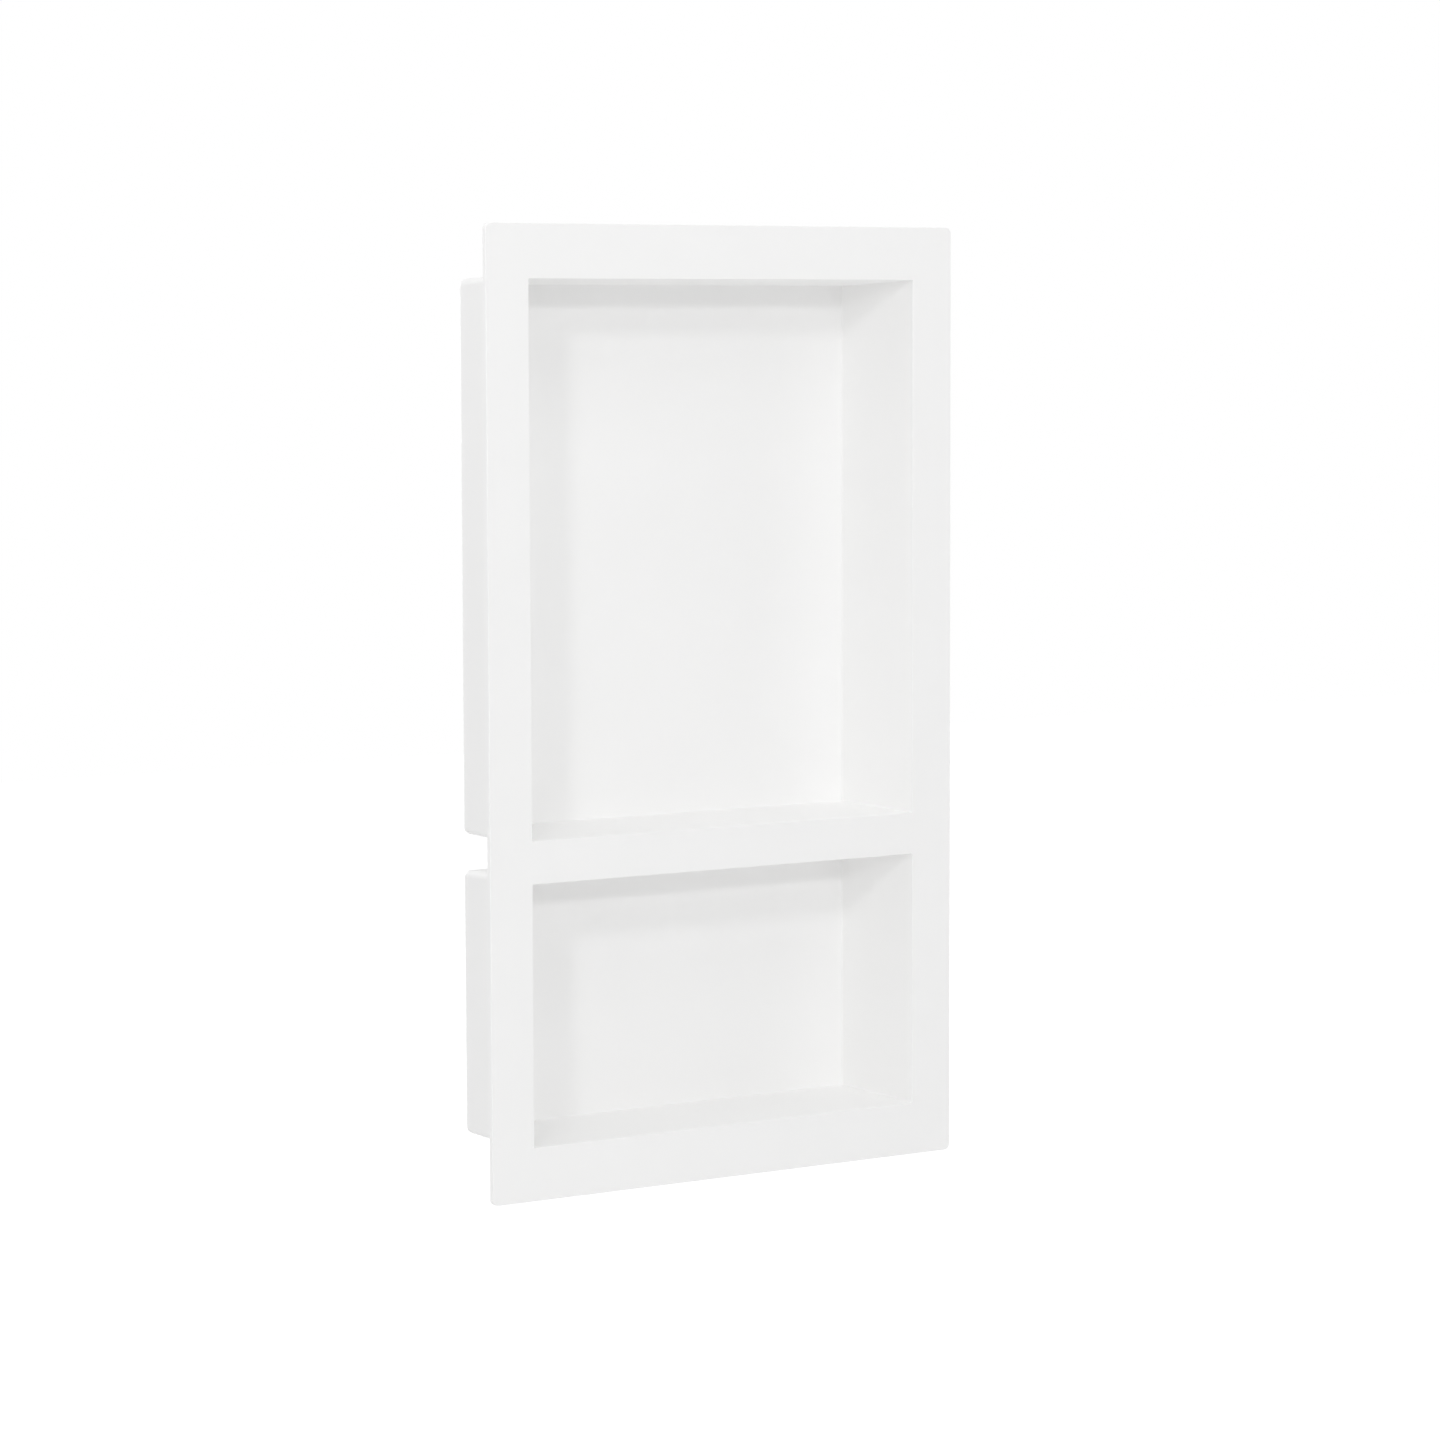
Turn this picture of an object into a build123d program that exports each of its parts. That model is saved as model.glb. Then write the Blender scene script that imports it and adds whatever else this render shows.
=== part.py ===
from build123d import *
import os

# A recessed shower niche: one plastic moulding, a flat flange with two open pockets behind it.
# X runs to the right, Y into the wall and Z up. The origin is the middle of the flange on its back face,
# which lies in the plane of the wall that the flange rests against.

# Driving dimensions, in millimetres
OPENING_WIDTH = 336.0
UPPER_OPENING_HEIGHT = 406.4
LOWER_OPENING_HEIGHT = 193.7
DIVIDER_HEIGHT = 31.7
SIDE_BORDER = 35.2
TOP_BORDER = 39.7
BOTTOM_BORDER = 39.7
FLANGE_THICKNESS = 4.3
POCKET_DEPTH = 95.25
SIDE_WALL = 4.3
BACK_WALL = 4.3

# Draft in degrees: sides and ceiling close in towards the back, and the floor rises so that water runs out
SIDE_DRAFT = 0.6
CEILING_DRAFT = 2.0
FLOOR_FALL = 0.2

# Edge radii, in millimetres
FLANGE_CORNER_RADIUS = 4.5
FLANGE_EDGE_RADIUS = 0.5
RIM_RADIUS = 0.5
INNER_RADIUS = 1.0
ROOT_RADIUS = 1.5

# Sizes and places that follow from the ones above
FLANGE_WIDTH = OPENING_WIDTH + 2 * SIDE_BORDER
FLANGE_HEIGHT = BOTTOM_BORDER + LOWER_OPENING_HEIGHT + DIVIDER_HEIGHT + UPPER_OPENING_HEIGHT + TOP_BORDER
FRONT = -FLANGE_THICKNESS
LOWER_FLOOR = -FLANGE_HEIGHT / 2 + BOTTOM_BORDER
LOWER_CEILING = LOWER_FLOOR + LOWER_OPENING_HEIGHT
UPPER_FLOOR = LOWER_CEILING + DIVIDER_HEIGHT
UPPER_CEILING = UPPER_FLOOR + UPPER_OPENING_HEIGHT
OUTER_RADIUS = INNER_RADIUS + SIDE_WALL

FRONT_PLANE = Plane(origin=(0, FRONT, 0), x_dir=(1, 0, 0), z_dir=(0, 1, 0))
POCKETS = [(LOWER_FLOOR, LOWER_CEILING), (UPPER_FLOOR, UPPER_CEILING)]


def drafted_block(floor, ceiling, growth, depth, radius):
    """A block that goes back from the front plane, drafted, with every edge behind that plane rounded."""
    width = OPENING_WIDTH + 2 * growth
    height = ceiling - floor + 2 * growth
    block = Pos(0, FRONT + depth / 2, (floor + ceiling) / 2) * Box(width, depth, height)
    left, *_, right = block.faces().sort_by(Axis.X)
    block = draft([left, right], FRONT_PLANE, SIDE_DRAFT)
    top = block.faces().sort_by(Axis.Z)[-1]
    block = draft(top, FRONT_PLANE, CEILING_DRAFT)
    bottom = block.faces().sort_by(Axis.Z)[0]
    block = draft(bottom, FRONT_PLANE, FLOOR_FALL)
    front = block.faces().sort_by(Axis.Y)[0]
    return fillet(block.edges() - front.edges(), radius)


def flange_plate():
    """The flat plate that rests on the wall, with rounded corners and a softened front edge."""
    outline = FRONT_PLANE * RectangleRounded(FLANGE_WIDTH, FLANGE_HEIGHT, FLANGE_CORNER_RADIUS)
    plate = extrude(outline, FLANGE_THICKNESS)
    front = plate.faces().sort_by(Axis.Y)[0]
    return fillet(front.edges(), FLANGE_EDGE_RADIUS)


def hole_edges(body, plane_y):
    """The edges of the holes in the flat face that lies in the plane y = plane_y."""
    face = body.faces().filter_by(Axis.Y).filter_by_position(Axis.Y, plane_y, plane_y)[0]
    return [edge for wire in face.inner_wires() for edge in wire.edges()]


def niche():
    """The flange with both pockets behind it, hollowed from the front."""
    body = flange_plate()
    for floor, ceiling in POCKETS:
        body += drafted_block(floor, ceiling, SIDE_WALL, POCKET_DEPTH + BACK_WALL, OUTER_RADIUS)
    body = fillet(hole_edges(body, 0), ROOT_RADIUS)
    for floor, ceiling in POCKETS:
        body -= drafted_block(floor, ceiling, 0, POCKET_DEPTH, INNER_RADIUS)
    return fillet(hole_edges(body, FRONT), RIM_RADIUS)


os.makedirs("parts", exist_ok=True)
export_step(niche(), "parts/niche_body.step")
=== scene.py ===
# Looks of a recessed shower niche: one half matt white moulding on a plain white set, in metres
import math

import bpy
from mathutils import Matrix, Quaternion, Vector


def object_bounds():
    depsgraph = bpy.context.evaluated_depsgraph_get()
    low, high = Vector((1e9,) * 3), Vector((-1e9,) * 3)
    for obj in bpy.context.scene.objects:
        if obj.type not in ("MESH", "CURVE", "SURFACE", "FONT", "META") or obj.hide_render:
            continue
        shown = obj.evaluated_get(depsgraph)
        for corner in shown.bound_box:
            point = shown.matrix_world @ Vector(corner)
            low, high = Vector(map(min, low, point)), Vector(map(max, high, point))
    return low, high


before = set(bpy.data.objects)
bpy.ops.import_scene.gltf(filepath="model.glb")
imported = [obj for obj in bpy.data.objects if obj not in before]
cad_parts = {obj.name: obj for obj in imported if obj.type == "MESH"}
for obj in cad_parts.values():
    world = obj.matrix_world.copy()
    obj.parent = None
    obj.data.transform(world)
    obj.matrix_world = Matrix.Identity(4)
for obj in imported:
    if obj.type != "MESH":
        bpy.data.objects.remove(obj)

CAD_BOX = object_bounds()
LOWEST = CAD_BOX[0]
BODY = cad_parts["niche_body"]

# Camera: where it looks, from how far and from which side, with angles in degrees and the lens in millimetres
AIM = Vector((-0.0038, 0.0, -0.0107))
CAMERA_DISTANCE = 3.2454
CAMERA_LEFT = 32.379
CAMERA_UP = 5.150
CAMERA_ROLL = -0.177
ROLL_AXIS = Vector((0, 0, 1))
LENS = 108.91
SENSOR = 36.0

# Colours: full opacity, and plain white
OPAQUE = 1
PURE_WHITE = (1, 1, 1, OPAQUE)

# Floor: how far below the part it lies, its side, its colour, and the glow with which it is seen as white
FLOOR_DROP = 0.45
FLOOR_SIDE = 14.0
FLOOR_WHITE = 0.92
FLOOR_GLOW = 0.57

# Light: the strength of the even light all round, and how often light may bounce
AMBIENT = 0.505
LIGHT_BOUNCES = 16

# Lamps: name, degrees to the left, degrees up, distance, side and watts
LAMPS = [
    ("key", 21.9, 14.38, 4.9, 0.22, 28.0),
    ("side", 45.6, 21.2, 3.98, 0.32, 17.9),
    ("front", 0, 50, 2.0, 0.8, 3.25),
    ("left", 100, 50, 2.4, 0.8, 8.0),
    ("soft_left", 75, 65, 5.0, 3.0, 34.0),
    ("soft_right", -60, 20, 5.0, 3.0, 20.1),
    ("back", 180, 8, 5.0, 1.5, 28.0),
]

# Plastic: the whites and roughnesses that its clouds run between, and the noise values at their ends
WHITE_LOW = (0.946, 0.945, 0.942)
WHITE_HIGH = (0.956, 0.955, 0.952)
ROUGHNESS_LOW = 0.43
ROUGHNESS_HIGH = 0.47
NOISE_LOW = 0.3
NOISE_HIGH = 0.7
REFRACTION = 1.5

# Clouds, waves and grain: the size and height of their features, and how many finer layers each has
CLOUD_SIZE = 0.06
CLOUD_DETAIL = 3
WAVE_SIZE = 0.018
WAVE_HEIGHT = 0.000004
WAVE_DETAIL = 1
GRAIN_SIZE = 0.0009
GRAIN_HEIGHT = 0.000003
GRAIN_DETAIL = 2

# Mesh cleaning: vertices this close are one, edges sharper than this stay sharp, and how far flat faces lead
WELD_DISTANCE = 0.00001
SHARP_ANGLE = math.radians(40)
FLAT_FACE_WEIGHT = 80


def toward(left, up):
    """The direction from the part to something so many degrees to the left of its front and above it."""
    left, up = math.radians(left), math.radians(up)
    return Vector((-math.sin(left) * math.cos(up), -math.cos(left) * math.cos(up), math.sin(up)))


def add_object(name, data):
    """A new object in the scene."""
    thing = bpy.data.objects.new(name, data)
    bpy.context.scene.collection.objects.link(thing)
    return thing


def add_node(tree, kind, **settings):
    """A new node, with its properties set."""
    node = tree.nodes.new(kind)
    for name, value in settings.items():
        setattr(node, name, value)
    return node


def noise(tree, place, size, detail):
    """Noise with features of that size, in the part's own frame."""
    node = add_node(tree, "ShaderNodeTexNoise")
    node.inputs["Scale"].default_value = 1 / size
    node.inputs["Detail"].default_value = detail
    tree.links.new(place.outputs["Object"], node.inputs["Vector"])
    return node.outputs["Fac"]


def spread(tree, value, low, high):
    """Noise stretched to run from one number to another."""
    node = add_node(tree, "ShaderNodeMapRange")
    node.inputs["From Min"].default_value = NOISE_LOW
    node.inputs["From Max"].default_value = NOISE_HIGH
    node.inputs["To Min"].default_value = low
    node.inputs["To Max"].default_value = high
    tree.links.new(value, node.inputs["Value"])
    return node.outputs["Result"]


def blend(tree, value, low, high):
    """Noise turned into a run from one colour to another."""
    node = add_node(tree, "ShaderNodeValToRGB")
    first, last = node.color_ramp.elements
    first.position = NOISE_LOW
    first.color = (*low, OPAQUE)
    last.position = NOISE_HIGH
    last.color = (*high, OPAQUE)
    tree.links.new(value, node.inputs["Fac"])
    return node.outputs["Color"]


def bump(tree, height, distance, under=None):
    """A bump of that height, alone or on top of another one."""
    node = add_node(tree, "ShaderNodeBump")
    node.inputs["Distance"].default_value = distance
    tree.links.new(height, node.inputs["Height"])
    if under:
        tree.links.new(under, node.inputs["Normal"])
    return node.outputs["Normal"]


def white_plastic():
    """Half matt, very slightly warm white plastic, with faint clouds, a slight waviness and a fine grain."""
    material = bpy.data.materials.new("moulded_white")
    material.use_nodes = True
    tree = material.node_tree
    shader = tree.nodes["Principled BSDF"]
    place = add_node(tree, "ShaderNodeTexCoord")
    clouds = noise(tree, place, CLOUD_SIZE, CLOUD_DETAIL)
    waves = noise(tree, place, WAVE_SIZE, WAVE_DETAIL)
    grain = noise(tree, place, GRAIN_SIZE, GRAIN_DETAIL)
    tree.links.new(blend(tree, clouds, WHITE_LOW, WHITE_HIGH), shader.inputs["Base Color"])
    tree.links.new(spread(tree, clouds, ROUGHNESS_LOW, ROUGHNESS_HIGH), shader.inputs["Roughness"])
    wavy = bump(tree, waves, WAVE_HEIGHT)
    tree.links.new(bump(tree, grain, GRAIN_HEIGHT, wavy), shader.inputs["Normal"])
    shader.inputs["IOR"].default_value = REFRACTION
    return material


def clean_shading(body):
    """Welds the faces' meshes into one skin, shaded smoothly across the radii and flat on the flats."""
    group = bpy.data.node_groups.new("weld_and_smooth", "GeometryNodeTree")
    group.interface.new_socket("Geometry", in_out="INPUT", socket_type="NodeSocketGeometry")
    group.interface.new_socket("Geometry", in_out="OUTPUT", socket_type="NodeSocketGeometry")
    start = add_node(group, "NodeGroupInput")
    weld = add_node(group, "GeometryNodeMergeByDistance")
    weld.inputs["Distance"].default_value = WELD_DISTANCE
    smooth = add_node(group, "GeometryNodeSetShadeSmooth", domain="FACE")
    angle = add_node(group, "GeometryNodeInputMeshEdgeAngle")
    steep = add_node(group, "FunctionNodeCompare", operation="GREATER_THAN")
    steep.inputs["B"].default_value = SHARP_ANGLE
    sharp = add_node(group, "GeometryNodeSetShadeSmooth", domain="EDGE")
    sharp.inputs["Shade Smooth"].default_value = False
    end = add_node(group, "NodeGroupOutput")
    group.links.new(start.outputs["Geometry"], weld.inputs["Geometry"])
    group.links.new(weld.outputs["Geometry"], smooth.inputs["Geometry"])
    group.links.new(smooth.outputs["Geometry"], sharp.inputs["Geometry"])
    group.links.new(angle.outputs["Unsigned Angle"], steep.inputs["A"])
    group.links.new(steep.outputs["Result"], sharp.inputs["Selection"])
    group.links.new(sharp.outputs["Geometry"], end.inputs["Geometry"])
    body.modifiers.new("weld_and_smooth", "NODES").node_group = group
    normals = body.modifiers.new("flat_faces_lead", "WEIGHTED_NORMAL")
    normals.weight = FLAT_FACE_WEIGHT
    normals.keep_sharp = True


def seen_directly(tree):
    """1 for a ray from the camera, gloss or glass, and 0 for a ray that lights a surface."""
    path = add_node(tree, "ShaderNodeLightPath")
    either = add_node(tree, "ShaderNodeMath", operation="MAXIMUM")
    tree.links.new(path.outputs["Is Camera Ray"], either.inputs[0])
    tree.links.new(path.outputs["Is Glossy Ray"], either.inputs[1])
    any_of_them = add_node(tree, "ShaderNodeMath", operation="MAXIMUM")
    tree.links.new(either.outputs["Value"], any_of_them.inputs[0])
    tree.links.new(path.outputs["Is Transmission Ray"], any_of_them.inputs[1])
    return any_of_them.outputs["Value"]


def light_all_round():
    """An even light from every side, behind a background that is seen as plain white."""
    world = bpy.data.worlds.new("studio")
    world.use_nodes = True
    tree = world.node_tree
    light = tree.nodes["Background"]
    light.inputs["Color"].default_value = PURE_WHITE
    light.inputs["Strength"].default_value = AMBIENT
    white = add_node(tree, "ShaderNodeBackground")
    white.inputs["Color"].default_value = PURE_WHITE
    mix = add_node(tree, "ShaderNodeMixShader")
    tree.links.new(seen_directly(tree), mix.inputs["Fac"])
    tree.links.new(light.outputs["Background"], mix.inputs[1])
    tree.links.new(white.outputs["Background"], mix.inputs[2])
    tree.links.new(mix.outputs["Shader"], tree.nodes["World Output"].inputs["Surface"])
    bpy.context.scene.world = world


def lamp(name, left, up, distance, side, watts):
    """A square soft lamp that faces the part."""
    data = bpy.data.lights.new(name, "AREA")
    data.shape = "SQUARE"
    data.size = side
    data.energy = watts
    thing = add_object(name, data)
    away = toward(left, up)
    thing.location = away * distance
    thing.rotation_euler = (-away).to_track_quat("-Z", "Y").to_euler()
    thing.visible_camera = False


def floor():
    """A pale floor below the part, which is seen as white outside the part's shadow."""
    half = FLOOR_SIDE / 2
    height = LOWEST.z - FLOOR_DROP
    mesh = bpy.data.meshes.new("floor")
    corners = [(-half, -half), (half, -half), (half, half), (-half, half)]
    mesh.from_pydata([(x, y, height) for x, y in corners], [], [range(len(corners))])
    material = bpy.data.materials.new("floor_white")
    material.use_nodes = True
    tree = material.node_tree
    tree.nodes.remove(tree.nodes["Principled BSDF"])
    matt = add_node(tree, "ShaderNodeBsdfDiffuse")
    matt.inputs["Color"].default_value = (FLOOR_WHITE, FLOOR_WHITE, FLOOR_WHITE, OPAQUE)
    glow = add_node(tree, "ShaderNodeEmission")
    strength = add_node(tree, "ShaderNodeMath", operation="MULTIPLY")
    strength.inputs[1].default_value = FLOOR_GLOW
    both = add_node(tree, "ShaderNodeAddShader")
    tree.links.new(seen_directly(tree), strength.inputs[0])
    tree.links.new(strength.outputs["Value"], glow.inputs["Strength"])
    tree.links.new(matt.outputs["BSDF"], both.inputs[0])
    tree.links.new(glow.outputs["Emission"], both.inputs[1])
    tree.links.new(both.outputs["Shader"], tree.nodes["Material Output"].inputs["Surface"])
    mesh.materials.append(material)
    add_object("floor", mesh)


def camera():
    """The camera at the photograph's viewing angle."""
    data = bpy.data.cameras.new("camera")
    data.sensor_width = SENSOR
    data.lens = LENS
    thing = add_object("camera", data)
    away = toward(CAMERA_LEFT, CAMERA_UP)
    thing.location = AIM + away * CAMERA_DISTANCE
    roll = Quaternion(ROLL_AXIS, math.radians(CAMERA_ROLL))
    thing.rotation_mode = "QUATERNION"
    thing.rotation_quaternion = (-away).to_track_quat("-Z", "Y") @ roll
    bpy.context.scene.camera = thing


BODY.material_slots[0].material = white_plastic()
clean_shading(BODY)
floor()
light_all_round()
for settings in LAMPS:
    lamp(*settings)
camera()
scene = bpy.context.scene
scene.view_settings.view_transform = "Standard"
scene.cycles.diffuse_bounces = LIGHT_BOUNCES
scene.cycles.max_bounces = LIGHT_BOUNCES
